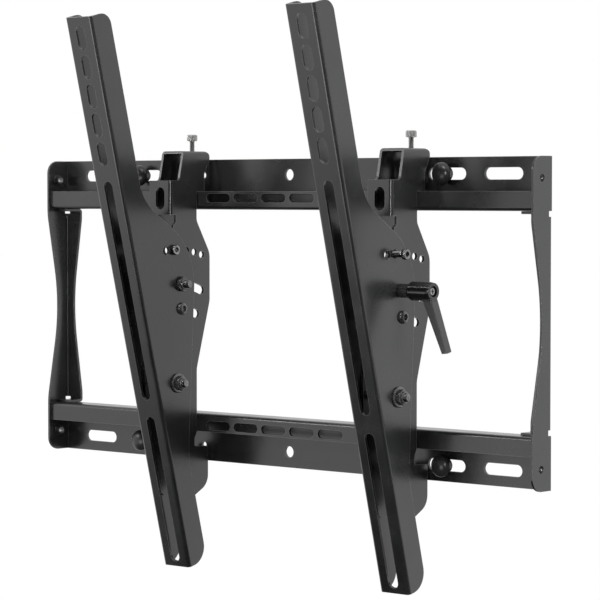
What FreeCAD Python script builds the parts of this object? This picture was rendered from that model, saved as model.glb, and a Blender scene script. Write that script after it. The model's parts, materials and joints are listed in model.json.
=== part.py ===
import FreeCAD, Part
import math
import os

V = FreeCAD.Vector
AX, AY, AZ = V(1, 0, 0), V(0, 1, 0), V(0, 0, 1)

# Driving sizes in mm and degrees
# Frame: origin at the middle of the wall plate on the wall, X right, Y into the wall, Z up.

SHEET = 2.0                 # thickness of every folded sheet
BEND = 0.8                  # inner radius of every fold
RUN_FIT = 0.05              # radial clearance of a pin that turns in a hole
PIN_GAP = 0.3               # clearance of a pin that travels along a slot
SEAT_GAP = 0.1              # clearance between two faces that only rest on each other
OVER = 1.0                  # how far a cutter runs past what it cuts

# Rails of the wall plate
PLATE_W = 489.0             # width over the side flanges
PLATE_H = 234.0             # height over the two rails
RAIL_DEPTH = 20.2           # wall to front of the hook lip
RAIL_BACK = 38.5            # outer edge of a rail to the outer face of its shelf
LIP_HEIGHT = 14.0           # height of the hook lip
SLOT_EDGE = 12.0            # outer edge of a rail to the middle of its wall slots
SLOT_SIDE = 41.3            # side of the plate to the middle of the outer slot
SLOT_PITCH = 50.8           # outer slot to inner slot
WALL_SLOT = (34.0, 8.6)     # length and width of a wall slot
CENTRE_HOLE = 8.6
PILOT_X = 88.9              # small round holes beside the slots
PILOT_HOLE = 4.8
LIP_SLOT = (24.6, 6.8)      # openings in the lip between the arms
LIP_SLOT_Z = 6.9            # shelf to the middle of these openings
LIP_SLOT_PITCH = 28.4
LIP_SLOTS = 5

# Uprights of the wall plate
SIDE_DEPTH = 22.4           # depth of the side flange at its ends
SIDE_WAIST = 11.3           # depth of the side flange at mid height
SIDE_REACH = 74.0           # half height of the side flange's waist
SIDE_WAIST_R = (170.0, 60.0)
SIDE_CORNER = 10.0
SIDE_HOLE = 5.0             # core of a tapped hole with a collar pressed inward
SIDE_MOUTH = (5.6, 0.4)     # outer diameter and depth of its drawn-in mouth
SIDE_COLLAR = (7.4, 3.7)    # diameter and height of the collar
SIDE_HOLE_Y = 12.5
SIDE_HOLE_EDGE = 15.5       # end of the flange to the hole
WALL_FLANGE = 17.4          # width of the wall flange at its ends
WALL_WAIST = 8.6            # width of the wall flange at mid height
WALL_REACH = 70.0
WALL_WAIST_R = (190.0, 24.0)
TAB_DEPTH = 13.4            # end tabs bent forward against the rails' shelves
TAB_IN = 5.0                # side of the plate to the tab's outer edge
RELIEF = (4.2, 3.9)         # bend relief notch, depth and height
END_BACK = 0.9              # side flange's ends stop this far in front of the wall

# Domed caps
CAP_D = 16.4
CAP_RIM = 1.8
CAP_EDGE = 0.6              # chamfer behind the rim
CAP_DOME = 3.8
CAP_NECK = (11.0, 5.6)      # diameter and length
CAP_STEM = 8.0

# Arms
ARM_IN = {"left": 62.4, "right": 23.9}   # inner wall slot of its side to the middle of the arm
PIVOT_Y = -44.5
PIVOT_Z = -54.0
TILT = 14.0                 # forward tilt of the arms in this pose
TILT_RANGE = 19.0           # from full forward to full back
TILT_STEPS = 4
ARM_W = 27.5                # outer width of the channel
ARM_TOP = 289.0             # pivot to top end of the arm
ARM_BOTTOM = 142.0          # pivot to bottom end of the arm
ARM_END_R = (9.5, 14.0)     # rounding of the web at its top and bottom end
FACE_OFF = 22.3             # front face of the arm to the pivot
WEB_DEPTH = 19.8            # depth of the channel at its ends
BELLY_TOP = (143.5, 38.0)   # where the web widens above the pivot, and its radius
BELLY = (66.3, 94.4, 52.0)  # greatest depth of the web, height above the pivot, radius
BELLY_END = (59.6, 60.0)    # where the web is narrow again below the pivot, and its radius
TV_SLOT_W = 9.0
TV_SHORT_L = 18.0
TV_SHORT_FIRST = 15.6       # top end of the arm to the first short slot
TV_SHORT_PITCH = 22.05
TV_SHORT_N = 5
TV_LONG = ((125.0, 296.4), (310.0, 427.0))
ARC_INDEX = 102.0           # radii about the pivot of the three arcs
ARC_LEVER = 75.8
ARC_STOP = 57.0
INDEX_ANGLE = -2.4          # from vertical toward the wall, in this pose
LEVER_ANGLE = 2.8
STOP_ANGLE = 4.5

# Screws, nuts and washers of the arms
M5 = 5.0
M6 = 6.0
INDEX_PLAY = 1.6            # play of the index screw in the arm's holes, on the diameter
HEX_HEAD = (10.0, 4.0)      # across flats and height
LOCK_NUT = (10.0, 5.0)
THIN_NUT = (10.0, 4.0)
WASHER = (15.0, 1.6)
BUTTON = (9.6, 3.2)
INDEX_HEAD = (7.8, 3.3)
NUT_FACE = 0.95             # share of a nut's flats that its end face spans
NUT_LEAN = 60.0             # angle of the cone that eases a nut's corners
KEY_SHARE = 0.68            # socket across flats to the screw's diameter
KEY_DEPTH = 0.55            # socket depth to the head's height
PIVOT_OUT = 9.0             # how far each bolt's end stands past the web
STOP_OUT = 6.0
TENSION_OUT = {"left": 9.5, "right": 8.0}
INDEX_OUT = {"left": SEAT_GAP, "right": 8.2}

# Hook brackets: depths are in front of the wall, and outlines give depth, height and corner radius
EAR_SIDE_GAP = 0.5          # between a bracket plate and the web beside it
LIP_GAP = 0.6               # between the plates and either face of the lip
HOOK_HEAD = ((35.2, 30.8, 1.0), (6.3, 30.8, 4.5), (6.3, 24.8, 2.0), (12.2, 13.5, 4.0))
HOOK_NOSE = (6.5, 2.4)      # nose behind the lip, its reach below the lip's edge and its corner radius
HOOK_SEAT_R = 0.9
HOOK_WAIST = ((22.5, 8.0), (6.3, 99.0, 14.0), (6.3, 62.0, 16.0), (10.0, 16.0))
HOOK_FOOT = ((23.4, 5.5, 2.0), (23.4, 11.5, 1.5), (8.4, 12.1, 2.0), (8.4, 41.5, 12.0), (25.0, 50.5, 5.0),
             (38.5, 50.5, 6.0))
HOOK_KNEE = (0.5, 2.0)      # start of the foot below the lower lip's edge, and its radius
HOOK_BELLY = ((56.0, -14.0, 18.0), (56.0, 14.0, 18.0))
HOOK_CHIN = ((46.6, 25.5, 1.0), (43.8, 24.1, 1.0))
BRIDGE_BASE = (39.8, 3.0)   # depth of the bridge's front edge at the flange, and its radius
FLANGE_DEPTH = 49.4         # wall to the front face of the bracket's front flange
FLANGE_SPAN = (17.8, 8.2)   # below and above the lip's edge
FLANGE_SLOT = (17.0, 9.4)
FLANGE_SLOT_DROP = 0.6
FLANGE_LAP = 4.0            # how far the flange runs back into its plate
FLANGE_GAP = 0.4            # between the flange and the front edge of the other plate
INDEX_HOLE_PLAY = 0.4       # play of the index screw in the bracket's holes, on the diameter

# Height screws
SCREW_DEPTH = 13.9          # wall to the axis of the height screw
SCREW_D = 4.0
SCREW_HOLE = 5.0            # hole in the bridge
SCREW_RISE = 38.8           # lip's edge to the underside of the head
SCREW_HEAD = (8.0, 4.9)     # diameter and height
SCREW_EDGE = 0.5
SCREW_KEY = (3.0, 2.4)      # socket across flats and depth
FOOT = (7.2, 3.0)
CLINCH_NUT = (7.0, 4.0)

# Clamping lever of the right arm, lengths along its axis
LEVER_NECK = (10.0, 8.2)    # collar between the web and the handle
LEVER_BODY = (8.8, 6.0)     # plain part of the insert inside the handle
LEVER_PULL = 3.0            # pull that frees the handle from the teeth
TEETH_D = 8.6               # toothed end of the insert, over the tips
TOOTH_DEPTH = 0.5
TOOTH_N = 16
BOLT_BORE = 9.0             # depth of the insert's bore for the tension bolt
LEVER_HUB = (13.6, 20.4)
HUB_NEAR = (11.6, 1.6)      # taper of the hub at the web: diameter and length
HUB_FAR = (12.4, 3.0)       # taper of the hub at its free end
HUB_WALL = 2.0              # floor between the teeth and the spring
CENTRE_SCREW = 3.0
CENTRE_BITE = 5.5           # how far the centre screw stands in the insert
CENTRE_HEAD = (6.6, 2.6)
CENTRE_EDGE = 0.8
CENTRE_SUNK = 1.0           # head below the end of the hub
CROSS = (3.6, 0.9, 1.5)     # cross recess: span, width and depth
SPRING_WIRE = 0.6
SPRING_D = 5.2              # mean diameter of the coil
SPRING_TURNS = 2.0
# handle's ends: below the axis at the near and far side, from the web to near and far side, depth
LEVER_GRIP = ((4.2, 4.2, 20.6, 29.0, 7.8), (43.6, 42.0, 38.6, 42.6, 6.8))
GRIP_EDGE = 0.7

# Derived sizes

HALF_W = PLATE_W / 2
HALF_H = PLATE_H / 2
SHELF_Z = HALF_H - RAIL_BACK
SHELF_TOP = SHELF_Z + SHEET
LIP_EDGE = SHELF_Z + LIP_HEIGHT
WALL_SLOT_Z = HALF_H - SLOT_EDGE
WALL_SLOT_X = (HALF_W - SLOT_SIDE, HALF_W - SLOT_SIDE - SLOT_PITCH)
ARM_X = {"left": ARM_IN["left"] - WALL_SLOT_X[1], "right": WALL_SLOT_X[1] - ARM_IN["right"]}
SIDE_HOLE_Z = HALF_H - SIDE_HOLE_EDGE
LIP_FRONT = -RAIL_DEPTH
LIP_BACK = LIP_FRONT + SHEET
ARM_HALF = ARM_W / 2
WEB_IN = ARM_HALF - SHEET
EAR_OUT = WEB_IN - EAR_SIDE_GAP
EAR_IN = EAR_OUT - SHEET
STEP = TILT_RANGE / TILT_STEPS
HOOK_TOP = LIP_EDGE + HOOK_HEAD[0][1]
FLANGE_Z = (LIP_EDGE - FLANGE_SPAN[0], LIP_EDGE + FLANGE_SPAN[1])
SCREW_HEAD_Z = LIP_EDGE + SCREW_RISE
LEVER_WEB = ARM_HALF + SEAT_GAP
COLLAR_END = LEVER_WEB + LEVER_NECK[1]
TEETH_START = COLLAR_END + LEVER_BODY[1]
INSERT_END = TEETH_START + LEVER_PULL
HUB_START = COLLAR_END + SEAT_GAP
HUB_END = HUB_START + LEVER_HUB[1]
SPRING_FLOOR = INSERT_END + PIN_GAP * 2 + HUB_WALL
CENTRE_TOP = HUB_END - CENTRE_SUNK
CENTRE_HEAD_X = CENTRE_TOP - CENTRE_HEAD[1]

OUT = "parts"
os.makedirs(OUT, exist_ok=True)


# Shape helpers

def corner(p0, p1, p2, r):
    """tangent points and mid point of an arc of radius r at the corner p1"""
    a = (p0 - p1).normalize()
    b = (p2 - p1).normalize()
    half = a.getAngle(b) / 2
    cut = r / math.tan(half)
    mid = p1 + (a + b).normalize() * (r / math.sin(half) - r)
    return p1 + a * cut, mid, p1 + b * cut


def outline(points, plane):
    """closed face of corners (a, b, radius) in the plane 'YZ', 'XZ' or 'XY'"""
    put = {"YZ": lambda a, b: V(0, a, b), "XZ": lambda a, b: V(a, 0, b), "XY": lambda a, b: V(a, b, 0)}[plane]
    pts = [put(p[0], p[1]) for p in points]
    rad = [p[2] if len(p) > 2 else 0.0 for p in points]
    n = len(pts)
    edges = []
    first = None
    last = None
    for i in range(n):
        if rad[i] > 0:
            s, m, e = corner(pts[i - 1], pts[i], pts[(i + 1) % n], rad[i])
        else:
            s = m = e = pts[i]
        if last is not None and last.distanceToPoint(s) > 1e-6:
            edges.append(Part.makeLine(last, s))
        if rad[i] > 0:
            edges.append(Part.Arc(s, m, e).toShape())
        if first is None:
            first = s
        last = e
    if last.distanceToPoint(first) > 1e-6:
        edges.append(Part.makeLine(last, first))
    return Part.Face(Part.Wire(edges))


def strip(mid, plane, t=SHEET, r=BEND):
    """face of a folded sheet seen from its end, from its middle line"""
    left = []
    right = []
    n = len(mid)
    for i in range(n):
        x, y = mid[i]
        if 0 < i < n - 1:
            d1 = V(x - mid[i - 1][0], y - mid[i - 1][1], 0).normalize()
            d2 = V(mid[i + 1][0] - x, mid[i + 1][1] - y, 0).normalize()
            turn = d1.x * d2.y - d1.y * d2.x
            nrm = V(-d1.y - d2.y, d1.x + d2.x, 0)
            nrm = nrm * (t / nrm.dot(V(-d1.y, d1.x, 0)) / 2)
            ra, rb = (r, r + t) if turn > 0 else (r + t, r)
        else:
            j = 1 if i == 0 else n - 1
            d = V(mid[j][0] - mid[j - 1][0], mid[j][1] - mid[j - 1][1], 0).normalize()
            nrm = V(-d.y, d.x, 0) * (t / 2)
            ra = rb = 0.0
        left.append((x + nrm.x, y + nrm.y, ra))
        right.append((x - nrm.x, y - nrm.y, rb))
    return outline(left + right[::-1], plane)


def slab(face, axis, a, b):
    """prism of a face between the coordinates a and b of an axis"""
    f = face.copy()
    f.translate(axis * a)
    return f.extrude(axis * (b - a))


def rod(d, p, axis, length):
    return Part.makeCylinder(d / 2, length, p, axis)


def oblong(p, axis, along, length, width):
    """rounded slot cutter through a sheet, centred on p"""
    half = (length - width) / 2
    depth = SHEET + OVER
    side = axis.cross(along)
    a, b = p - along * half, p + along * half
    ring = [a + side * (width / 2), b + side * (width / 2), b - side * (width / 2), a - side * (width / 2)]
    body = Part.Face(Part.makePolygon(ring + ring[:1])).extrude(axis * (2 * depth))
    body.translate(axis * -depth)
    for c in (a, b):
        body = body.fuse(rod(width, c - axis * depth, axis, 2 * depth))
    return body.removeSplitter()


def polar(radius, angle):
    """point of an arc about the pivot, from vertical toward the wall"""
    return V(0, radius * math.sin(math.radians(angle)), radius * math.cos(math.radians(angle)))


def arc_slot(radius, a0, a1, width, x0, x1):
    """curved slot cutter about the pivot line, between two angles"""
    mid = (a0 + a1) / 2
    ro, ri = radius + width / 2, radius - width / 2
    edges = [Part.Arc(polar(ro, a0), polar(ro, mid), polar(ro, a1)).toShape(),
             Part.makeLine(polar(ro, a1), polar(ri, a1)),
             Part.Arc(polar(ri, a1), polar(ri, mid), polar(ri, a0)).toShape(),
             Part.makeLine(polar(ri, a0), polar(ro, a0))]
    body = slab(Part.Face(Part.Wire(edges)), AX, x0, x1)
    for a in (a0, a1):
        body = body.fuse(rod(width, polar(radius, a) + AX * x0, AX, x1 - x0))
    return body.removeSplitter()


def hexagon(across, p, axis, length):
    """hexagonal bar across the flats, standing on p"""
    r = across / math.sqrt(3)
    u = AY if abs(axis.y) < 0.5 else AX
    w = axis.cross(u)
    pts = []
    for k in range(7):
        a = math.radians(60 * k)
        pts.append(p + u * (r * math.cos(a)) + w * (r * math.sin(a)))
    return Part.Face(Part.makePolygon(pts)).extrude(axis * length)


def hex_block(size, p, axis):
    """nut blank or bolt head on p, with the corners of its far end eased"""
    across, height = size
    end = NUT_FACE * across / 2
    cone = Part.makeCone(end + height * math.tan(math.radians(NUT_LEAN)), end, height, p, axis)
    return hexagon(across, p, axis, height).common(cone)


def mirror_x(shape):
    return shape.mirror(V(0, 0, 0), AX)


def save(name, shape):
    shape = shape.removeSplitter()
    if shape.ShapeType != "Solid" and len(shape.Solids) == 1:
        shape = shape.Solids[0]
    shape.exportStep(os.path.join(OUT, name + ".step"))


# Wall plate

def rail():
    """top rail: back plate, shelf and upturned hook lip folded from one sheet"""
    half = SHEET / 2
    face = strip([(-half, HALF_H), (-half, SHELF_Z + half), (LIP_FRONT + half, SHELF_Z + half),
                  (LIP_FRONT + half, LIP_EDGE)], "YZ")
    end = HALF_W - SHEET - SEAT_GAP
    body = slab(face, AX, -end, end)
    cuts = [rod(CENTRE_HOLE, V(0, -SHEET - OVER, WALL_SLOT_Z), AY, SHEET + 2 * OVER)]
    for s in (-1, 1):
        cuts.append(rod(PILOT_HOLE, V(s * PILOT_X, -SHEET - OVER, WALL_SLOT_Z), AY, SHEET + 2 * OVER))
        for x in WALL_SLOT_X:
            cuts.append(oblong(V(s * x, 0, WALL_SLOT_Z), AY, AX, *WALL_SLOT))
    first = -LIP_SLOT_PITCH * (LIP_SLOTS - 1) / 2
    for k in range(LIP_SLOTS):
        mid = V(first + k * LIP_SLOT_PITCH, LIP_FRONT, SHELF_TOP + LIP_SLOT_Z)
        cuts.append(oblong(mid, AY, AX, *LIP_SLOT))
    for cut in cuts:
        body = body.cut(cut)
    return body


def waist_cut(plane, outer, inner, reach, radii):
    """cutter that draws an edge in to a shallow waist, with eased ends"""
    apex_r, end_r = radii
    far = outer + math.copysign(abs(outer - inner) + OVER, outer - inner)
    lean = math.atan((inner - outer) / reach)
    apex = inner + math.copysign(apex_r * (1 / math.cos(lean) - 1), inner - outer)
    run = reach + end_r / 2
    return outline([(outer, reach, end_r), (apex, 0.0, apex_r), (outer, -reach, end_r),
                    (outer, -run), (far, -run), (far, run), (outer, run)], plane)


def upright():
    """right upright: side flange, wall flange and two end tabs folded from one sheet"""
    half = SHEET / 2
    tab_z = SHELF_Z - SEAT_GAP - half
    inner = HALF_W - WALL_FLANGE
    side_mid = HALF_W - half
    fold_z = SHELF_Z - RELIEF[1]
    fold = strip([(inner, -half), (side_mid, -half), (side_mid, -SIDE_DEPTH)], "XY")
    body = slab(fold, AZ, -fold_z, fold_z)
    side = outline([(0, HALF_H), (-SIDE_DEPTH, HALF_H, SIDE_CORNER), (-SIDE_DEPTH, -HALF_H, SIDE_CORNER),
                    (0, -HALF_H)], "YZ")
    side = slab(side, AX, HALF_W - SHEET, HALF_W)
    cut_x, cut_w = HALF_W - SHEET - OVER, SHEET + 2 * OVER
    notch = Part.makeBox(cut_w, RELIEF[0], 2 * SHELF_Z, V(cut_x, -RELIEF[0], -SHELF_Z))
    ends = Part.makeBox(cut_w, END_BACK, PLATE_H, V(cut_x, -END_BACK, -HALF_H))
    body = body.fuse(side.cut(notch).cut(ends))
    tabs = strip([(-TAB_DEPTH, tab_z), (-half, tab_z), (-half, -tab_z), (-TAB_DEPTH, -tab_z)], "YZ")
    body = body.fuse(slab(tabs, AX, inner, HALF_W - TAB_IN))
    for s in (-1, 1):
        hole = V(HALF_W - SHEET - SIDE_COLLAR[1], -SIDE_HOLE_Y, s * SIDE_HOLE_Z)
        body = body.fuse(rod(SIDE_COLLAR[0], hole, AX, SIDE_COLLAR[1] + SHEET / 2))
        body = body.cut(rod(SIDE_HOLE, hole - AX * OVER, AX, SIDE_COLLAR[1] + SHEET + 2 * OVER))
        mouth = V(HALF_W - SIDE_MOUTH[1], -SIDE_HOLE_Y, s * SIDE_HOLE_Z)
        body = body.cut(Part.makeCone(SIDE_HOLE / 2, SIDE_MOUTH[0] / 2, SIDE_MOUTH[1], mouth, AX))
    waist = waist_cut("YZ", -SIDE_DEPTH, -SIDE_WAIST, SIDE_REACH, SIDE_WAIST_R)
    body = body.cut(slab(waist, AX, HALF_W - SHEET - BEND / 2, HALF_W + OVER))
    waist = waist_cut("XZ", inner, HALF_W - WALL_WAIST, WALL_REACH, WALL_WAIST_R)
    return body.cut(slab(waist, AY, -SHEET - OVER, OVER))


def wall_cap():
    """domed cap on a neck, whose stem stands in a wall slot"""
    base = -SHEET - SEAT_GAP
    back = base - CAP_NECK[1]
    front = back - CAP_RIM
    ball_r = (CAP_D ** 2 / 4 + CAP_DOME ** 2) / (2 * CAP_DOME)
    body = rod(CAP_NECK[0], V(0, base, 0), -AY, CAP_NECK[1])
    body = body.fuse(Part.makeCone(CAP_D / 2 - CAP_EDGE, CAP_D / 2, CAP_EDGE, V(0, back, 0), -AY))
    body = body.fuse(rod(CAP_D, V(0, back - CAP_EDGE, 0), -AY, CAP_RIM - CAP_EDGE))
    ball = Part.makeSphere(ball_r, V(0, front - CAP_DOME + ball_r, 0))
    body = body.fuse(ball.common(rod(CAP_D, V(0, front, 0), -AY, CAP_DOME + OVER)))
    return body.fuse(rod(CAP_STEM, V(0, base, 0), AY, SHEET - SEAT_GAP))


# Hook bracket

def bracket_side():
    """side view of one hook plate"""
    nose_front = LIP_BACK + LIP_GAP
    side = LIP_FRONT - LIP_GAP
    nose_z = LIP_EDGE - HOOK_NOSE[0]
    seat_z = LIP_EDGE + SEAT_GAP
    flange_back = -FLANGE_DEPTH + SHEET + BEND
    points = [(-d, LIP_EDGE + z, r) for d, z, r in HOOK_HEAD]
    points += [(-HOOK_HEAD[-1][0], nose_z, HOOK_NOSE[1]), (nose_front, nose_z, HOOK_NOSE[1]),
               (nose_front, seat_z, HOOK_SEAT_R), (side, seat_z, HOOK_SEAT_R)]
    upper, *waist, lower = HOOK_WAIST
    points.append((side, LIP_EDGE - upper[0], upper[1]))
    points += [(-d, PIVOT_Z + z, r) for d, z, r in waist]
    points.append((side, PIVOT_Z + lower[0], lower[1]))
    points.append((side, -LIP_EDGE - HOOK_KNEE[0], HOOK_KNEE[1]))
    points += [(-d, -LIP_EDGE - z, r) for d, z, r in HOOK_FOOT]
    points += [(-d, PIVOT_Z + z, r) for d, z, r in HOOK_BELLY]
    points += [(-d, LIP_EDGE - z, r) for d, z, r in HOOK_CHIN]
    points += [(-HOOK_CHIN[-1][0], FLANGE_Z[0]), (flange_back, FLANGE_Z[0]), (flange_back, FLANGE_Z[1]),
               (-BRIDGE_BASE[0], FLANGE_Z[1], BRIDGE_BASE[1])]
    return outline(points, "YZ")


def bracket_flange():
    """slotted front flange, bent from one plate and passing in front of the other"""
    half = SHEET / 2
    mid = EAR_OUT - half
    face = -FLANGE_DEPTH
    bend = strip([(mid, face + SHEET + BEND + FLANGE_LAP), (mid, face + half), (-EAR_OUT, face + half)], "XY")
    slot = oblong(V(0, face, sum(FLANGE_Z) / 2 - FLANGE_SLOT_DROP), AY, AZ, *FLANGE_SLOT)
    return slab(bend, AZ, *FLANGE_Z).cut(slot)


def bracket_holes():
    """pivot hole, index holes and the two curved slots, about the pivot"""
    x0, x1 = -EAR_OUT - OVER, EAR_OUT + OVER
    cuts = [rod(M6 + 2 * RUN_FIT, AX * x0, AX, x1 - x0)]
    for k in range(-1, TILT_STEPS + 1):
        p = polar(ARC_INDEX, INDEX_ANGLE + k * STEP) + AX * x0
        cuts.append(rod(M5 + INDEX_HOLE_PLAY, p, AX, x1 - x0))
    for r, a in ((ARC_LEVER, LEVER_ANGLE), (ARC_STOP, STOP_ANGLE)):
        cuts.append(arc_slot(r, a, a + TILT_RANGE, M6 + 2 * PIN_GAP, x0, x1))
    return cuts


def bracket(x):
    """hook bracket: two plates under a bridge, folded from one sheet with its flange"""
    half = SHEET / 2
    mid = EAR_OUT - half
    foot_z = -LIP_EDGE - HOOK_FOOT[-1][1] - OVER
    arch = strip([(-mid, foot_z), (-mid, HOOK_TOP - half), (mid, HOOK_TOP - half), (mid, foot_z)], "XZ")
    arch = slab(arch, AY, -HOOK_BELLY[0][0] - OVER, 0.0)
    body = arch.common(slab(bracket_side(), AX, -EAR_OUT - OVER, EAR_OUT + OVER))
    reach = HOOK_BELLY[0][0]
    clear = Part.makeBox(SHEET + 2 * FLANGE_GAP, reach, HOOK_TOP - HOOK_CHIN[0][1],
                         V(-EAR_OUT - FLANGE_GAP, -FLANGE_DEPTH + SHEET + FLANGE_GAP - reach,
                           LIP_EDGE - HOOK_CHIN[0][1]))
    body = body.cut(clear).fuse(bracket_flange())
    body = body.cut(rod(SCREW_HOLE, V(0, -SCREW_DEPTH, HOOK_TOP - SHEET - OVER), AZ, SHEET + 2 * OVER))
    for cut in bracket_holes():
        cut.translate(V(0, PIVOT_Y, PIVOT_Z))
        body = body.cut(cut)
    body.translate(V(x, 0, 0))
    return body


def clinch_nut(x):
    """hex nut pressed up against the bridge, for the height screw"""
    top = HOOK_TOP - SHEET - SEAT_GAP / 2
    across, height = CLINCH_NUT
    nut = hexagon(across, V(x, -SCREW_DEPTH, top - height), AZ, height)
    return nut.cut(rod(SCREW_D + 2 * RUN_FIT, V(x, -SCREW_DEPTH, top - height - OVER), AZ, height + 2 * OVER))


def height_screw(x):
    """socket head screw that stands on its foot and lifts the bracket"""
    tip = SHELF_TOP + SEAT_GAP + FOOT[1] + SEAT_GAP
    across, sunk = SCREW_KEY
    body = rod(SCREW_D, V(x, -SCREW_DEPTH, tip), AZ, SCREW_HEAD_Z - tip)
    head = rod(SCREW_HEAD[0], V(x, -SCREW_DEPTH, SCREW_HEAD_Z), AZ, SCREW_HEAD[1])
    head = head.makeChamfer(SCREW_EDGE, [head.Edges[0]])
    socket = hexagon(across, V(x, -SCREW_DEPTH, SCREW_HEAD_Z + SCREW_HEAD[1] - sunk), AZ, sunk + OVER)
    return body.fuse(head).cut(socket)


def screw_foot(x):
    """round pad between the tip of the height screw and the shelf"""
    return rod(FOOT[0], V(x, -SCREW_DEPTH, SHELF_TOP + SEAT_GAP), AZ, FOOT[1])


# Tilting arm, upright and with its pivot at the origin

def arm_side():
    """side view of the arm's web"""
    front = -FACE_OFF
    back = front + WEB_DEPTH
    return outline([
        (front, ARM_TOP), (back, ARM_TOP, ARM_END_R[0]), (back, BELLY_TOP[0], BELLY_TOP[1]),
        (front + BELLY[0], BELLY[1], BELLY[2]), (back, -BELLY_END[0], BELLY_END[1]),
        (back, -ARM_BOTTOM, ARM_END_R[1]), (front, -ARM_BOTTOM)], "YZ")


def arm_holes():
    """through holes of the two webs"""
    x0, long = -ARM_HALF - OVER, ARM_W + 2 * OVER
    cuts = [rod(M6 + 2 * RUN_FIT, AX * x0, AX, long)]
    for k in (0, -1):
        p = polar(ARC_INDEX, INDEX_ANGLE + TILT + k * STEP) + AX * x0
        cuts.append(rod(M5 + INDEX_PLAY, p, AX, long))
    for r, a in ((ARC_LEVER, LEVER_ANGLE), (ARC_STOP, STOP_ANGLE)):
        cuts.append(rod(M6 + 2 * RUN_FIT, polar(r, a + TILT) + AX * x0, AX, long))
    return cuts


def arm():
    """channel-shaped arm with the slots for the screen's screws"""
    half = SHEET / 2
    mid = ARM_HALF - half
    face = -FACE_OFF + half
    section = strip([(-mid, face + BELLY[0]), (-mid, face), (mid, face), (mid, face + BELLY[0])], "XY")
    body = slab(section, AZ, -ARM_BOTTOM, ARM_TOP)
    body = body.common(slab(arm_side(), AX, -ARM_HALF, ARM_HALF))
    cuts = arm_holes()
    for k in range(TV_SHORT_N):
        z = ARM_TOP - TV_SHORT_FIRST - k * TV_SHORT_PITCH
        cuts.append(oblong(V(0, -FACE_OFF, z), AY, AZ, TV_SHORT_L, TV_SLOT_W))
    for a, b in TV_LONG:
        cuts.append(oblong(V(0, -FACE_OFF, ARM_TOP - (a + b) / 2), AY, AZ, b - a, TV_SLOT_W))
    for cut in cuts:
        body = body.cut(cut)
    return body


def hex_bolt(p, under, length, d):
    """bolt along +X whose head stands on the -X side of the coordinate under"""
    shank = rod(d, p + AX * under, AX, length)
    return shank.fuse(hex_block(HEX_HEAD, p + AX * under, -AX))


def socket_screw(p, under, length, d, size, domed):
    """screw along -X whose head stands on the +X side of the coordinate under"""
    head_d, head_h = size
    foot = p + AX * under
    shank = rod(d, foot, -AX, length)
    head = rod(head_d, foot, AX, head_h)
    if domed:
        ball_r = (head_d ** 2 / 4 + head_h ** 2) / (2 * head_h)
        head = Part.makeSphere(ball_r, foot + AX * (head_h - ball_r)).common(head)
    sunk = head_h * KEY_DEPTH
    socket = hexagon(d * KEY_SHARE, foot + AX * (head_h - sunk), AX, sunk + OVER)
    return shank.fuse(head).cut(socket)


def nut(size, p, axis):
    """hex nut for a bolt of 6 mm, standing on p"""
    bore = rod(M6 + 2 * RUN_FIT, p - axis * OVER, axis, size[1] + 2 * OVER)
    return hex_block(size, p, axis).cut(bore)


def washer(p):
    """plain washer standing on p"""
    d, t = WASHER
    return rod(d, p, AX, t).cut(rod(M6 + 2 * RUN_FIT, p - AX * OVER, AX, t + 2 * OVER))


def arm_hardware(side):
    """bolts, nuts and screws that the arm carries"""
    seat = SEAT_GAP / 2
    web = ARM_HALF + seat
    lever = polar(ARC_LEVER, LEVER_ANGLE + TILT)
    stop = polar(ARC_STOP, STOP_ANGLE + TILT)
    index = polar(ARC_INDEX, INDEX_ANGLE + TILT)
    under = ARM_HALF + INDEX_OUT[side]
    parts = {
        "pivot_bolt": hex_bolt(V(0, 0, 0), -web, ARM_W + PIVOT_OUT, M6),
        "pivot_washer": washer(AX * web),
        "pivot_nut": nut(LOCK_NUT, AX * (web + WASHER[1] + seat), AX),
        "stop_nut": nut(THIN_NUT, stop - AX * web, -AX),
        "stop_screw": socket_screw(stop, web, ARM_W + STOP_OUT, M6, BUTTON, True),
        "index_screw": socket_screw(index, under, under - WEB_IN, M5, INDEX_HEAD, False),
        "tension_bolt": hex_bolt(lever, -web, ARM_W + TENSION_OUT[side], M6)}
    if side == "left":
        parts["tension_nut"] = nut(LOCK_NUT, lever + AX * web, AX)
    return parts


# Clamping lever, outboard along +X and with its axis at the origin

def teeth(d, x0, x1):
    """prism with teeth all round, d over the tips"""
    pts = []
    for k in range(2 * TOOTH_N + 1):
        a = math.pi * k / TOOTH_N
        r = d / 2 - (k % 2) * TOOTH_DEPTH
        pts.append(V(0, r * math.cos(a), r * math.sin(a)))
    return slab(Part.Face(Part.makePolygon(pts)), AX, x0, x1)


def lever_insert():
    """metal insert: collar on the web, threaded for the bolt, toothed inside the handle"""
    body = rod(LEVER_NECK[0], AX * LEVER_WEB, AX, LEVER_NECK[1])
    body = body.fuse(rod(LEVER_BODY[0], AX * COLLAR_END, AX, LEVER_BODY[1]))
    body = body.fuse(teeth(TEETH_D, TEETH_START, INSERT_END))
    body = body.cut(rod(M6 + 2 * RUN_FIT, AX * (LEVER_WEB - OVER), AX, BOLT_BORE + OVER))
    return body.cut(rod(CENTRE_SCREW + 2 * RUN_FIT, AX * (INSERT_END - CENTRE_BITE - PIN_GAP), AX,
                        CENTRE_BITE + PIN_GAP + OVER))


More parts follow.
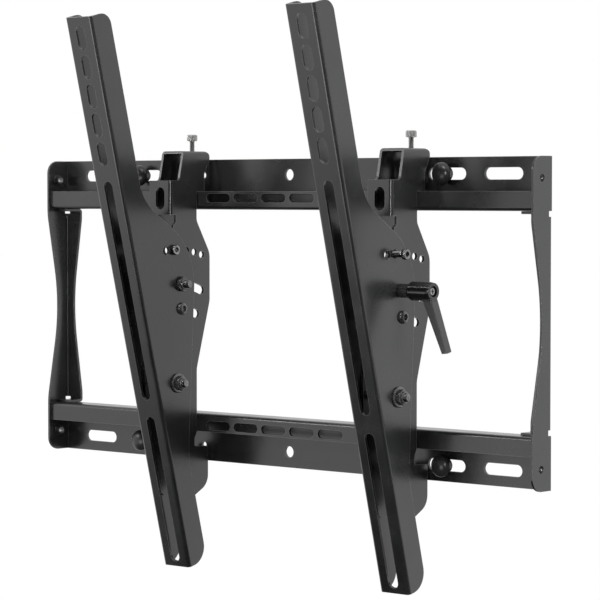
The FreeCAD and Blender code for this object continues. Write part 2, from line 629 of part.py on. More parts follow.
def lever_centre_screw():
    """screw that keeps the handle and its spring on the insert"""
    start = INSERT_END - CENTRE_BITE
    shank = rod(CENTRE_SCREW, AX * start, AX, CENTRE_HEAD_X - start)
    head = rod(CENTRE_HEAD[0], AX * CENTRE_HEAD_X, AX, CENTRE_HEAD[1])
    head = head.makeChamfer(CENTRE_EDGE, [e for e in head.Edges if abs(e.CenterOfMass.x - CENTRE_TOP) < 1e-6])
    span, width, deep = CROSS
    body = shank.fuse(head)
    for wide, high in ((span, width), (width, span)):
        body = body.cut(Part.makeBox(deep + OVER, wide, high, V(CENTRE_TOP - deep, -wide / 2, -high / 2)))
    return body


def lever_spring():
    """flat-wire coil between the floor of the handle and the head of the centre screw"""
    start = SPRING_FLOOR + SEAT_GAP + SPRING_WIRE / 2
    rise = CENTRE_HEAD_X - SEAT_GAP - SPRING_WIRE / 2 - start
    coil = Part.makeHelix(rise / SPRING_TURNS, rise, SPRING_D / 2)
    half = SPRING_WIRE / 2
    r = SPRING_D / 2
    ring = [V(r - half, 0, -half), V(r + half, 0, -half), V(r + half, 0, half), V(r - half, 0, half)]
    body = Part.Wire(coil).makePipeShell([Part.makePolygon(ring + ring[:1])], True, True)
    body.rotate(V(0, 0, 0), AY, 90)
    return body.translated(AX * start)


def grip_section(z_near, z_far, near, far, deep):
    """closed outline of the handle's arm at one end"""
    half = deep / 2
    pts = [(near, -half, z_near), (far, -half, z_far), (far, half, z_far), (near, half, z_near)]
    return Part.makePolygon([V(ARM_HALF + a, b, -c) for a, b, c in pts + pts[:1]])


def lever_handle():
    """plastic handle: hub and a tapered arm that leans outward"""
    full, length = LEVER_HUB
    hub = Part.makeCone(HUB_NEAR[0] / 2, full / 2, HUB_NEAR[1], AX * HUB_START, AX)
    hub = hub.fuse(rod(full, AX * (HUB_START + HUB_NEAR[1]), AX, length - HUB_NEAR[1] - HUB_FAR[1]))
    hub = hub.fuse(Part.makeCone(full / 2, HUB_FAR[0] / 2, HUB_FAR[1], AX * (HUB_END - HUB_FAR[1]), AX))
    grip = Part.makeLoft([grip_section(*end) for end in LEVER_GRIP], True, True)
    long_edges = [e for e in grip.Edges if abs(e.tangentAt(e.FirstParameter).z) > 0.8]
    body = hub.fuse(grip.makeFillet(GRIP_EDGE, long_edges))
    run = HUB_END - TEETH_START
    cuts = [rod(LEVER_BODY[0] + 2 * PIN_GAP, AX * (HUB_START - OVER), AX, TEETH_START - HUB_START + OVER),
            teeth(TEETH_D + PIN_GAP, TEETH_START - SEAT_GAP, SPRING_FLOOR - HUB_WALL),
            rod(CENTRE_SCREW + 2 * PIN_GAP, AX * TEETH_START, AX, run),
            rod(CENTRE_HEAD[0] + 4 * PIN_GAP, AX * SPRING_FLOOR, AX, run)]
    for cut in cuts:
        body = body.cut(cut)
    return body


# Write every piece

top = rail()
save("top_rail", top)
save("bottom_rail", top.mirror(V(0, 0, 0), AZ))
right = upright()
save("right_upright", right)
save("left_upright", mirror_x(right))
cap = wall_cap()
for zname, z in (("top", WALL_SLOT_Z), ("bottom", -WALL_SLOT_Z)):
    for xname, x in (("left", -WALL_SLOT_X[1]), ("right", WALL_SLOT_X[1])):
        save("cap_" + zname + "_" + xname, cap.translated(V(x, 0, z)))

tilted = FreeCAD.Rotation(AX, TILT)
for side, x in ARM_X.items():
    save(side + "_bracket", bracket(x))
    save(side + "_clinch_nut", clinch_nut(x))
    save(side + "_height_screw", height_screw(x))
    save(side + "_screw_foot", screw_foot(x))
    pieces = {"arm": arm()}
    pieces.update(arm_hardware(side))
    if side == "right":
        on_bolt = FreeCAD.Placement(polar(ARC_LEVER, LEVER_ANGLE + TILT), FreeCAD.Rotation(AX, -TILT))
        for key, shape in (("lever_insert", lever_insert()), ("lever_handle", lever_handle()),
                           ("lever_centre_screw", lever_centre_screw()), ("lever_spring", lever_spring())):
            shape.Placement = on_bolt.multiply(shape.Placement)
            pieces[key] = shape
    for key, shape in pieces.items():
        shape.Placement = FreeCAD.Placement(V(x, PIVOT_Y, PIVOT_Z), tilted).multiply(shape.Placement)
        save(side + "_" + key, shape)
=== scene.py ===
import json
import math

import bmesh
import bpy
from mathutils import Matrix, Vector

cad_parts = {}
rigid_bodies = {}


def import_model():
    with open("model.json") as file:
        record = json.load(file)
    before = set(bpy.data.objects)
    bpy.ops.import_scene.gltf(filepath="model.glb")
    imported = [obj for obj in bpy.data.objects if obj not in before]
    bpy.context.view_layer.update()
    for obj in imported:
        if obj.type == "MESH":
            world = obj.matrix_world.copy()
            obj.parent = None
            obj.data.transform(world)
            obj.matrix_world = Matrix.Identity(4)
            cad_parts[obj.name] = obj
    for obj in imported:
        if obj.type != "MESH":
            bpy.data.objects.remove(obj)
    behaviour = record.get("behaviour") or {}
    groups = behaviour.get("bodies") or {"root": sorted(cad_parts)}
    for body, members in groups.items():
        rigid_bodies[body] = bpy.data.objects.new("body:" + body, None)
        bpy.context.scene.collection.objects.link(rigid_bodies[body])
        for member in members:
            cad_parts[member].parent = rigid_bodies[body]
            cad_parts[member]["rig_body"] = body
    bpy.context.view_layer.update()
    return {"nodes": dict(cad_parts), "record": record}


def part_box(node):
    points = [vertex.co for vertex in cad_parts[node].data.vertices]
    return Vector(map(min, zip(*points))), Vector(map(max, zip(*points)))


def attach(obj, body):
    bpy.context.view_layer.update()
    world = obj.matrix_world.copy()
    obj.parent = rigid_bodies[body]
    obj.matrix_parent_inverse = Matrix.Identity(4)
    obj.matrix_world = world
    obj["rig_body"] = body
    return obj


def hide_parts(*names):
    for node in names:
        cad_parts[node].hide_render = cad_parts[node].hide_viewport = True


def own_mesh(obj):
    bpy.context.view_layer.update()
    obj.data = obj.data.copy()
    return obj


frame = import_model()
nodes = frame["nodes"]

# Rails of the wall plate
# Two strips of 2 mm steel, each folded to a back plate, a shelf and a hook lip. They are
# punched flat, folded, then powder coated in a satin black that runs round every cut edge.

MM = 0.001
ENDS = ("top", "bottom")
SHEET_EDGE = 0.3            # radius that the coat gives to a cut edge
EDGE_STARTS = 0.95          # cosine between a face and its rounded normal where an edge begins
EDGE_FULL = 0.85            # and where it counts in full


def new_group(name, inputs, outputs):
    """empty shader node group with named float or colour sockets"""
    group = bpy.data.node_groups.new(name, "ShaderNodeTree")
    for title, kind, value in inputs:
        socket = group.interface.new_socket(title, in_out="INPUT", socket_type="NodeSocket" + kind)
        socket.default_value = value
    for title, kind in outputs:
        group.interface.new_socket(title, in_out="OUTPUT", socket_type="NodeSocket" + kind)
    start = group.nodes.new("NodeGroupInput")
    end = group.nodes.new("NodeGroupOutput")
    return group, start.outputs, end.inputs


def add(tree, kind, links=(), **values):
    """adds a node, sets its values and feeds the numbered or named inputs in links"""
    node = tree.nodes.new("ShaderNode" + kind)
    for key, value in values.items():
        setattr(node, key, value)
    for key, source in dict(links).items():
        if isinstance(source, bpy.types.NodeSocket):
            tree.links.new(source, node.inputs[key])
        else:
            node.inputs[key].default_value = source
    return node


def grain_group():
    """fine orange peel of a sprayed coat, sizes in mm: Height for a bump and Mottle for its tone"""
    group, given, out = new_group("sprayed_grain", [("Size", "Float", 0.8), ("Mottle Size", "Float", 20.0)],
                                  [("Height", "Float"), ("Mottle", "Float")])
    place = add(group, "TexCoord").outputs["Object"]
    fine = add(group, "Math", {0: 1 / MM, 1: given["Size"]}, operation="DIVIDE").outputs[0]
    broad = add(group, "Math", {0: 1 / MM, 1: given["Mottle Size"]}, operation="DIVIDE").outputs[0]
    peel = add(group, "TexNoise", {"Vector": place, "Scale": fine, "Detail": 2.0, "Roughness": 0.6})
    pits = add(group, "TexVoronoi", {"Vector": place, "Scale": fine, "Randomness": 1.0}, feature="SMOOTH_F1")
    tone = add(group, "TexNoise", {"Vector": place, "Scale": broad, "Detail": 4.0, "Roughness": 0.55})
    both = add(group, "Math", {0: peel.outputs["Fac"], 1: pits.outputs["Distance"]}, operation="ADD")
    group.links.new(both.outputs[0], out["Height"])
    group.links.new(tone.outputs["Fac"], out["Mottle"])
    return group


def span(tree, value, low, high, a=0.0, b=1.0):
    """socket that runs from a to b while the value runs from low to high"""
    ends = {"Value": value, "From Min": low, "From Max": high, "To Min": a, "To Max": b}
    return add(tree, "MapRange", ends).outputs["Result"]


def edge_group():
    """how near a point lies to an outside edge, broken up in patches: painted highlight on the coat, wear
    elsewhere
    """
    group, given, out = new_group("edge_wear_and_highlight", [("Width", "Float", 0.5), ("Breakup", "Float", 0.5)],
                                  [("Mask", "Float")])
    reach = add(group, "Math", {0: given["Width"], 1: MM}, operation="MULTIPLY")
    soft = add(group, "Bevel", {"Radius": reach.outputs[0]}, samples=6)
    true = add(group, "NewGeometry").outputs["Normal"]
    same = add(group, "VectorMath", {0: soft.outputs[0], 1: true}, operation="DOT_PRODUCT")
    near = span(group, same.outputs["Value"], EDGE_STARTS, EDGE_FULL)
    place = add(group, "TexCoord").outputs["Object"]
    blot = add(group, "TexNoise", {"Vector": place, "Scale": 260.0, "Detail": 5.0, "Roughness": 0.7})
    kept = span(group, blot.outputs["Fac"], 0.35, 0.7, 1.0, 0.0)
    weak = add(group, "Math", {0: kept, 1: given["Breakup"]}, operation="MULTIPLY")
    left = add(group, "Math", {0: 1.0, 1: weak.outputs[0]}, operation="SUBTRACT")
    mask = add(group, "Math", {0: near, 1: left.outputs[0]}, operation="MULTIPLY")
    group.links.new(mask.outputs[0], out["Mask"])
    return group


sprayed_grain = grain_group()
# the edge mask below paints the coat's edge highlight and marks rubbed wear on metal and plastic edges
edge_wear_and_highlight = edge_group()


def use(tree, group, **values):
    """places a node group with its values"""
    node = tree.nodes.new("ShaderNodeGroup")
    node.node_tree = group
    for key, value in values.items():
        node.inputs[key.replace("_", " ")].default_value = value
    return node.outputs


def blank_material(name, **sockets):
    """material with a Principled shader whose constant sockets are set"""
    mat = bpy.data.materials.new(name)
    mat.use_nodes = True
    shader = mat.node_tree.nodes["Principled BSDF"]
    for key, value in sockets.items():
        shader.inputs[key.replace("_", " ")].default_value = value
    return mat, mat.node_tree, shader.inputs


def blend(tree, mask, a, b, kind="RGBA"):
    """socket that goes from a to b with the mask; each is a socket, a colour or a number"""
    a, b = [(*end, 1) if isinstance(end, tuple) else end for end in (a, b)]
    return add(tree, "Mix", {"Factor": mask, "A": a, "B": b}, data_type=kind).outputs["Result"]


def bump(tree, inputs, height, depth, strength):
    """feeds a height of the given depth in millimetres to the shader's normal"""
    node = add(tree, "Bump", {"Height": height, "Strength": strength, "Distance": depth * MM})
    tree.links.new(node.outputs["Normal"], inputs["Normal"])


def coated_material(name, dark, light, edge, roughness, gloss):
    """sprayed coat: two close tones at random, a painted highlight in light grey on every edge, smoother
    there
    """
    mat, tree, inputs = blank_material(name, Specular_IOR_Level=gloss)
    grain = use(tree, sprayed_grain, Size=0.55, Mottle_Size=24.0)
    painted_edge_highlight = use(tree, edge_wear_and_highlight, Width=0.85, Breakup=0.55)["Mask"]
    body = blend(tree, span(tree, grain["Mottle"], 0.3, 0.7), dark, light)
    # painted highlight: the edge colour lightens every edge in place of the light it would catch
    tree.links.new(blend(tree, painted_edge_highlight, body, edge), inputs["Base Color"])
    rough = span(tree, grain["Mottle"], 0.25, 0.75, roughness - 0.05, roughness + 0.05)
    smoother = add(tree, "Math", {0: painted_edge_highlight, 1: -0.12, 2: rough}, operation="MULTIPLY_ADD")
    tree.links.new(smoother.outputs[0], inputs["Roughness"])
    bump(tree, inputs, grain["Height"], depth=0.02, strength=0.35)
    return mat


# the light grey edge colour is a painted highlight, not the coat's own colour
black_coat = coated_material("satin_black_powder_coat", dark=(0.010, 0.0105, 0.0105),
                             light=(0.015, 0.0155, 0.0155), edge=(0.22, 0.22, 0.22), roughness=0.25,
                             gloss=0.85)


def finish(name, material, edge_radius):
    """gives a CAD piece its finish and eases its edges by a radius in millimetres"""
    piece = nodes[name]
    piece.data.materials.clear()
    piece.data.materials.append(material)
    weld = piece.modifiers.new("joined", "WELD")
    weld.merge_threshold = 0.001 * MM
    flat = piece.modifiers.new("flat_faces", "DECIMATE")
    flat.decimate_type = "DISSOLVE"
    flat.angle_limit = math.radians(0.4)
    bevel = piece.modifiers.new("eased_edges", "BEVEL")
    bevel.width = edge_radius * MM
    bevel.segments = 2
    bevel.limit_method = "ANGLE"
    bevel.angle_limit = math.radians(35)
    bevel.miter_outer = "MITER_ARC"
    even = piece.modifiers.new("even_normals", "WEIGHTED_NORMAL")
    even.keep_sharp = False


for end in ENDS:
    finish(end + "_rail", black_coat, SHEET_EDGE)

# Uprights of the wall plate
# One folded strip of the same steel at each side, with a wall flange, a waisted side flange
# and two end tabs that are welded under the rails' shelves.

SIDES = ("left", "right")

for side in SIDES:
    finish(side + "_upright", black_coat, SHEET_EDGE)

# Domed caps
# Four caps moulded in black plastic, each on a neck whose stem is pressed into a wall slot.
# Their domes have a soft shine.

PLASTIC_BLACK = (0.022, 0.022, 0.023)
SMOOTH_FACETS = 64          # round a cap or washer

# outline of a cap from the dome to the stem: distance from the dome's top, radius
CAP_OUTLINE = [(0.0, 0.4), (0.05, 1.6), (0.25, 3.0), (0.65, 4.5), (1.25, 5.9), (2.1, 7.15), (3.0, 7.85),
               (3.9, 8.15), (4.7, 8.19), (5.3, 8.0), (5.6, 7.5), (5.65, 6.6), (5.7, 5.75), (5.9, 5.5),
               (10.9, 5.45), (11.2, 5.2), (11.2, 3.98), (12.9, 3.95), (12.99, 3.7)]


def in_scene(name, data):
    """object that shows a mesh, a lamp or a camera"""
    thing = bpy.data.objects.new(name, data)
    bpy.context.scene.collection.objects.link(thing)
    return thing


def turned(name, rings, count, place, material):
    """closed mesh through rings (along, radius or radius at an angle), laid on the +Z axis of place"""
    points = []
    for along, radius in rings:
        for k in range(count):
            angle = 2 * math.pi * k / count
            r = radius(angle) if callable(radius) else radius
            points.append((r * MM * math.cos(angle), r * MM * math.sin(angle), along * MM))
    faces = [list(range(count))[::-1]]
    for i in range(len(rings) - 1):
        for k in range(count):
            n = (k + 1) % count
            faces.append([i * count + k, i * count + n, (i + 1) * count + n, (i + 1) * count + k])
    faces.append([(len(rings) - 1) * count + k for k in range(count)])
    mesh = bpy.data.meshes.new(name)
    mesh.from_pydata(points, [], faces)
    mesh.transform(place)
    mesh.polygons.foreach_set("use_smooth", [True] * len(mesh.polygons))
    mesh.set_sharp_from_angle(angle=math.radians(32))
    mesh.materials.append(material)
    return in_scene(name, mesh)


def stand_for(piece, node):
    """the piece takes the place of a CAD node and rides with it"""
    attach(piece, nodes[node]["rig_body"])
    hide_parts(node)


def along_axis(node, direction):
    """frame on a node's middle line: its +Z runs in the direction from the node's near end"""
    low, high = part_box(node)
    axis = Vector(direction)
    middle = (low + high) / 2
    near = [low[i] if axis[i] > 0 else high[i] for i in range(3)]
    start = Vector([middle[i] if abs(axis[i]) < 0.5 else near[i] for i in range(3)])
    turn = axis.to_track_quat("Z", "Y" if abs(axis.y) < 0.5 else "X").to_matrix().to_4x4()
    return Matrix.Translation(start) @ turn


def plastic_finish(tree, colour, roughness):
    """sockets of moulded plastic, scuffed lighter on its edges: colour, roughness and grain height"""
    grain = use(tree, sprayed_grain, Size=0.35, Mottle_Size=9.0)
    scuffed = use(tree, edge_wear_and_highlight, Width=0.35, Breakup=0.8)["Mask"]
    lighter = tuple(c * 2.2 + 0.01 for c in colour)
    rough = span(tree, grain["Mottle"], 0.3, 0.7, roughness - 0.03, roughness + 0.04)
    return blend(tree, scuffed, colour, lighter), rough, grain["Height"]


def plastic_material(name, colour, roughness, gloss, depth):
    """moulded plastic with a faint unevenness of the given depth in millimetres"""
    mat, tree, inputs = blank_material(name, Specular_IOR_Level=gloss)
    tone, rough, height = plastic_finish(tree, colour, roughness)
    tree.links.new(tone, inputs["Base Color"])
    tree.links.new(rough, inputs["Roughness"])
    bump(tree, inputs, height, depth, strength=0.3)
    return mat


cap_plastic = plastic_material("polished_black_plastic", PLASTIC_BLACK, roughness=0.27, gloss=0.5,
                               depth=0.004)

for end in ENDS:
    for side in SIDES:
        node = f"cap_{end}_{side}"
        cap = turned(node + "_moulded", CAP_OUTLINE, SMOOTH_FACETS, along_axis(node, (0, 1, 0)), cap_plastic)
        stand_for(cap, node)

# Hook brackets
# Each is one sheet of the same steel, folded to two hook plates under a bridge, with a slotted
# flange bent in front of them. They hang on the rails' lips by their hooks.

BRACKET_EDGE = 0.25

for side in SIDES:
    finish(side + "_bracket", black_coat, BRACKET_EDGE)

# Height screws, their feet and clinch nuts
# Socket head screws of 4 mm, zinc plated, with straight knurling round the head. Each turns in
# a nut under the bridge and stands on a small black pad on the rail's shelf.

UP = (0, 0, 1)
M4_PITCH = 0.7
HEIGHT_SHANK_R = 1.995
HEIGHT_HEAD_H = 4.9
HEIGHT_KEY = 3.0            # socket across flats
KNURL_GROOVES = 32
FACETS = 48                 # round a foot, nut or bolt, eight to each side of a hexagon
SCREW_FACETS = 96           # round a socket screw, three to each groove of its knurling
CLINCH_ACROSS = 7.0
CLINCH_BORE_R = 2.46

# outline of a foot from its underside up: height, radius
FOOT_OUTLINE = [(0.0, 0.6), (0.0, 3.2), (0.25, 3.5), (2.4, 3.58), (2.8, 3.35), (3.0, 2.9), (3.0, 2.4),
                (2.75, 2.2), (2.75, 0.4)]


def metal_material(name, colour, dull, roughness, metallic=1.0):
    """plated or oiled steel with fine turning marks and dull patches"""
    mat, tree, inputs = blank_material(name, Metallic=metallic)
    place = add(tree, "TexCoord").outputs["Object"]
    marks = add(tree, "TexNoise", {"Vector": place, "Scale": 2600.0, "Detail": 3.0, "Roughness": 0.6})
    patch = add(tree, "TexNoise", {"Vector": place, "Scale": 420.0, "Detail": 4.0, "Roughness": 0.65})
    rubbed = use(tree, edge_wear_and_highlight, Width=0.25, Breakup=0.4)["Mask"]
    body = blend(tree, span(tree, patch.outputs["Fac"], 0.35, 0.65), colour, dull)
    bright = tuple(min(1.0, c * 1.35 + 0.03) for c in colour)
    tree.links.new(blend(tree, rubbed, body, bright), inputs["Base Color"])
    rough = span(tree, patch.outputs["Fac"], 0.3, 0.7, roughness - 0.06, roughness + 0.08)
    tree.links.new(rough, inputs["Roughness"])
    bump(tree, inputs, marks.outputs["Fac"], depth=0.006, strength=0.35)
    return mat


zinc_plate = metal_material("zinc_plated_steel", (0.42, 0.42, 0.41), (0.30, 0.30, 0.297), roughness=0.34)
pad_plastic = plastic_material("satin_black_plastic", PLASTIC_BLACK, roughness=0.38, gloss=0.5, depth=0.012)


def hexagon(across, limit=math.inf):
    """radius of a hexagon at an angle, cut off at a limit as the chamfer of a nut does"""
    def radius(angle):
        turn = (angle + math.pi / 6) % (math.pi / 3) - math.pi / 6
        return min(limit, across / 2 / math.cos(turn))
    return radius


def knurl(radius, depth):
    """radius of a head with straight grooves"""
    return lambda angle: radius - depth * (0.5 - 0.5 * math.cos(KNURL_GROOVES * angle))


def thread(start, end, radius, pitch, share=0.54):
    """rings of a screw thread, flush at both ends; its depth is a share of the pitch"""
    depth = share * pitch
    steps = max(6, round((end - start) / pitch * 6))
    rings = []
    for i in range(steps + 1):
        along = start + (end - start) * i / steps
        fade = min(1.0, (along - start) / pitch, (end - along) / pitch)

        def crest(angle, along=along, fade=fade):
            phase = (along / pitch - angle / (2 * math.pi)) % 1.0
            return radius - depth * max(0.0, fade) * abs(2 * phase - 1)
        rings.append((along, crest))
    return rings


def bored(name, rings, count, place, material):
    """as turned, for a piece with a through bore: the last ring joins the first"""
    piece = turned(name, rings + rings[:1], count, place, material)
    work = bmesh.new()
    work.from_mesh(piece.data)
    bmesh.ops.delete(work, geom=[f for f in work.faces if len(f.verts) == count], context="FACES")
    bmesh.ops.remove_doubles(work, verts=work.verts, dist=0.0001 * MM)
    work.to_mesh(piece.data)
    work.free()
    return piece


def screw_foot(side):
    """pad with a dished top for the screw's tip"""
    node = side + "_screw_foot"
    pad = turned(node + "_moulded", FOOT_OUTLINE, FACETS, along_axis(node, UP), pad_plastic)
    stand_for(pad, node)


def clinch_nut(side):
    """hexagonal nut with a threaded bore"""
    node = side + "_clinch_nut"
    bore = thread(0.35, 3.65, CLINCH_BORE_R, M4_PITCH)[::-1]
    rings = [(0.0, 3.0), (0.0, hexagon(CLINCH_ACROSS, 3.55)), (0.4, hexagon(CLINCH_ACROSS, 3.9)),
             (3.6, hexagon(CLINCH_ACROSS, 3.95)), (4.0, hexagon(CLINCH_ACROSS, 3.6)), (4.0, 2.75),
             (3.7, CLINCH_BORE_R), *bore, (0.3, CLINCH_BORE_R), (0.0, 2.8)]
    nut = bored(node + "_cut", rings, FACETS, along_axis(node, UP), zinc_plate)
    stand_for(nut, node)


def height_screw(side):
    """knurled socket head screw, from its tip up"""
    node = side + "_height_screw"
    low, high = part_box(node)
    head = (high.z - low.z) / MM - HEIGHT_HEAD_H
    grip = knurl(3.99, depth=0.22)
    socket = hexagon(HEIGHT_KEY)
    rings = [(0.0, 1.3), (0.35, 1.75), *thread(0.5, head - 0.6, HEIGHT_SHANK_R, M4_PITCH),
             (head - 0.3, HEIGHT_SHANK_R), (head, 2.2), (head, 3.5), (head + 0.25, 3.9), (head + 0.5, grip),
             (head + 4.0, grip), (head + 4.3, 3.8), (head + 4.75, 3.45), (head + HEIGHT_HEAD_H, 3.1),
             (head + HEIGHT_HEAD_H, 1.95), (head + 4.6, socket), (head + 2.6, socket), (head + 2.3, 0.3)]
    screw = turned(node + "_turned", rings, SCREW_FACETS, along_axis(node, UP), zinc_plate)
    stand_for(screw, node)


for side in SIDES:
    screw_foot(side)
    clinch_nut(side)
    height_screw(side)

# Threads of the side holes
# Cut threads in the four collars pressed into the side flanges, bare where the tap went through
# the coat. Their places and lengths are the record's mounts.

COLLAR_BORE_R = 2.46
COLLAR_PITCH = 1.0


def side_thread(mount):
    """threaded lining of one side hole, from its inner end outward"""
    length = mount["dims"]["length_mm"]
    turn = Vector(mount["axis"]).to_track_quat("Z", "Y").to_matrix().to_4x4()
    place = Matrix.Translation(mount["pos_m"]) @ turn @ Matrix.Translation((0, 0, -length / 2 * MM))
    back = COLLAR_BORE_R + 0.03
    crests = thread(0.5, length - 0.5, COLLAR_BORE_R, COLLAR_PITCH, share=0.26)[::-1]
    rings = [(0.1, back), (length - 0.1, back), (length - 0.2, COLLAR_BORE_R), *crests, (0.2, COLLAR_BORE_R)]
    piece = bored(mount["name"] + "_thread", rings, FACETS, place, zinc_plate)
    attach(piece, "wall_plate")


for mount in frame["record"]["mounts"]:
    if mount["name"].startswith("side_hole"):
        side_thread(mount)

# Arms
# Channels of the same steel with waisted webs, folded down each side. Short and long slots in
# the front take the screen's screws.

for side in SIDES:
    finish(side + "_arm", black_coat, SHEET_EDGE)

# Bolts, nuts and screws of the arms
# Steel fasteners of 5 and 6 mm, cut and rolled: oiled hexagon bolts, blackened nuts, washers
# and stop screws, and polished index screws with knurled heads.

OUTWARD = (1, 0, 0)
INWARD = (-1, 0, 0)
ACROSS = 10.0               # hexagon heads and nuts across flats
HEX_HEAD_H = 4.0
M6_R = 2.995
M5_R = 2.495
M6_PITCH = 1.0
M5_PITCH = 0.8
BOLT_THREAD = 16.0          # length of a bolt's threaded end
SCREW_THREAD = 15.0         # and of a long socket screw's
NUT_ROOT_R = 3.47           # root of a nut's thread
NUT_LEAST_R = 3.051         # keeps a nut's thread clear of the bolt inside it
HEXAGON_SHARE = 0.68        # of a lock nut's height, the rest is its round collar

# outline of a washer: distance along its axis, radius
WASHER_OUTLINE = [(0.0, 3.1), (0.0, 7.3), (0.2, 7.49), (1.2, 7.49), (1.5, 7.2), (1.6, 6.8), (1.6, 3.3),
                  (1.45, 3.08), (0.1, 3.06)]

blackened = metal_material("blackened_steel", (0.17, 0.17, 0.172), (0.10, 0.10, 0.102), roughness=0.25,
                           metallic=0.8)
bolt_steel = metal_material("oiled_bolt_steel", (0.22, 0.22, 0.22), (0.13, 0.13, 0.13), roughness=0.28)
index_steel = metal_material("dark_screw_steel", (0.32, 0.32, 0.322), (0.15, 0.15, 0.152), roughness=0.19)


def length_of(node):
    """length of a fastener along X in millimetres"""
    low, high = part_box(node)
    return (high.x - low.x) / MM


def hex_bolt(node):
    """hexagon head bolt with a threaded end, from its head outward"""
    length = length_of(node)
    start = length - BOLT_THREAD + 0.2
    rings = [(0.0, 2.6), (0.0, ACROSS / 2 - 0.45), (0.35, hexagon(ACROSS, ACROSS / 2 + 0.35)),
             (0.9, hexagon(ACROSS, ACROSS / 2 + 0.72)), (HEX_HEAD_H - 0.25, hexagon(ACROSS)),
             (HEX_HEAD_H, hexagon(ACROSS - 0.4)), (HEX_HEAD_H, M6_R + 0.4), (HEX_HEAD_H + 0.1, M6_R),
             (start - 0.2, M6_R), *thread(start, length - 0.6, M6_R, M6_PITCH),
             (length - 0.45, M6_R - 0.35), (length, M6_R - 0.85), (length, 0.5)]
    bolt = turned(node + "_turned", rings, FACETS, along_axis(node, OUTWARD), bolt_steel)
    stand_for(bolt, node)


def nut_thread(length):
    """rings of a nut's thread from its far end, nowhere narrower than its bolt needs"""
    def cleared(crest):
        return lambda angle: max(NUT_LEAST_R, crest(angle))
    crests = thread(0.5, length - 0.5, NUT_ROOT_R, M6_PITCH)[::-1]
    return [(along, cleared(crest)) for along, crest in crests]


def lock_nut(node, direction):
    """nut with a threaded bore and a round collar at its far end"""
    length = length_of(node)
    flat = length * HEXAGON_SHARE
    rings = [(0.0, 3.5), (0.0, ACROSS / 2 - 0.3), (0.35, hexagon(ACROSS, ACROSS / 2 + 0.45)),
             (0.7, hexagon(ACROSS, ACROSS / 2 + 0.75)), (flat - 0.6, hexagon(ACROSS, ACROSS / 2 + 0.75)),
             (flat - 0.25, hexagon(ACROSS, ACROSS / 2 + 0.4)), (flat, ACROSS / 2 - 0.35), (flat, 4.35),
             (length - 0.5, 4.3), (length - 0.12, 4.0), (length, 3.6), (length, 3.3), (length - 0.3, 3.06),
             *nut_thread(length), (0.3, 3.06)]
    nut = bored(node + "_cut", rings, FACETS, along_axis(node, direction), blackened)
    stand_for(nut, node)


def plain_washer(node):
    """stamped washer with one rounded edge"""
    washer = bored(node + "_stamped", WASHER_OUTLINE, SMOOTH_FACETS, along_axis(node, OUTWARD), blackened)
    stand_for(washer, node)


def button_head(r, h, key):
    """rings of a domed head with a hexagon socket, from the socket's floor to the head's seat"""
    return [(h * 0.62, 0.3), (h * 0.55, hexagon(key)), (0.25, hexagon(key)), (0.0, key / 2 + 0.35),
            (0.02, r * 0.52), (0.25, r * 0.68), (0.7, r * 0.84), (1.3, r * 0.94), (2.1, r * 0.99),
            (h - 0.3, r - 0.01), (h, r - 0.3)]


def knurled_head(r, h, key):
    """rings of a knurled head with a hexagon socket, from the socket's floor to the head's seat"""
    grip = knurl(r - 0.01, depth=0.2)
    return [(h * 0.62, 0.3), (h * 0.55, hexagon(key)), (0.3, hexagon(key)), (0.0, key / 2 + 0.4),
            (0.0, r - 0.8), (0.2, r - 0.35), (0.7, grip), (h - 0.6, grip), (h - 0.2, r - 0.15), (h, r - 0.5)]


def socket_screw(node, head, shank_r, pitch, material):
    """screw with a hexagon socket, from its head inward"""
    length = length_of(node)
    under = head[-1][0]
    rings = [*head, (under, shank_r + 0.2), (under + 0.15, shank_r)]
    start = max(under + 0.4, length - SCREW_THREAD)
    if start > under + 1:
        rings.append((start - 0.2, shank_r))
    rings += [*thread(start, length - 0.5, shank_r, pitch), (length - 0.4, shank_r - 0.3),
              (length, shank_r - 0.7), (length, 0.4)]
    screw = turned(node + "_turned", rings, SCREW_FACETS, along_axis(node, INWARD), material)
    stand_for(screw, node)


for side in SIDES:
    hex_bolt(side + "_pivot_bolt")
    plain_washer(side + "_pivot_washer")
    lock_nut(side + "_pivot_nut", OUTWARD)
    hex_bolt(side + "_tension_bolt")
    lock_nut(side + "_stop_nut", INWARD)
    socket_screw(side + "_stop_screw", button_head(r=4.8, h=3.2, key=4.08), M6_R, M6_PITCH, blackened)
    socket_screw(side + "_index_screw", knurled_head(r=3.9, h=3.3, key=3.4), M5_R, M5_PITCH, index_steel)
lock_nut("left_tension_nut", OUTWARD)

# Clamping lever
# A moulded handle on a steel insert that clamps the tilt of the right arm. Pulled outward
# against its spring it lets go of the teeth, so that it can be set to another angle.

HUB_BLACK = (0.008, 0.008, 0.009)
HANDLE_PAINTED_SHEEN = (0.035, 0.035, 0.035)
HUB_REACH = 7.2             # hub's axis to where the handle's matt finish begins
HANDLE_EDGE = 0.2
STEEL_EDGE = 0.1


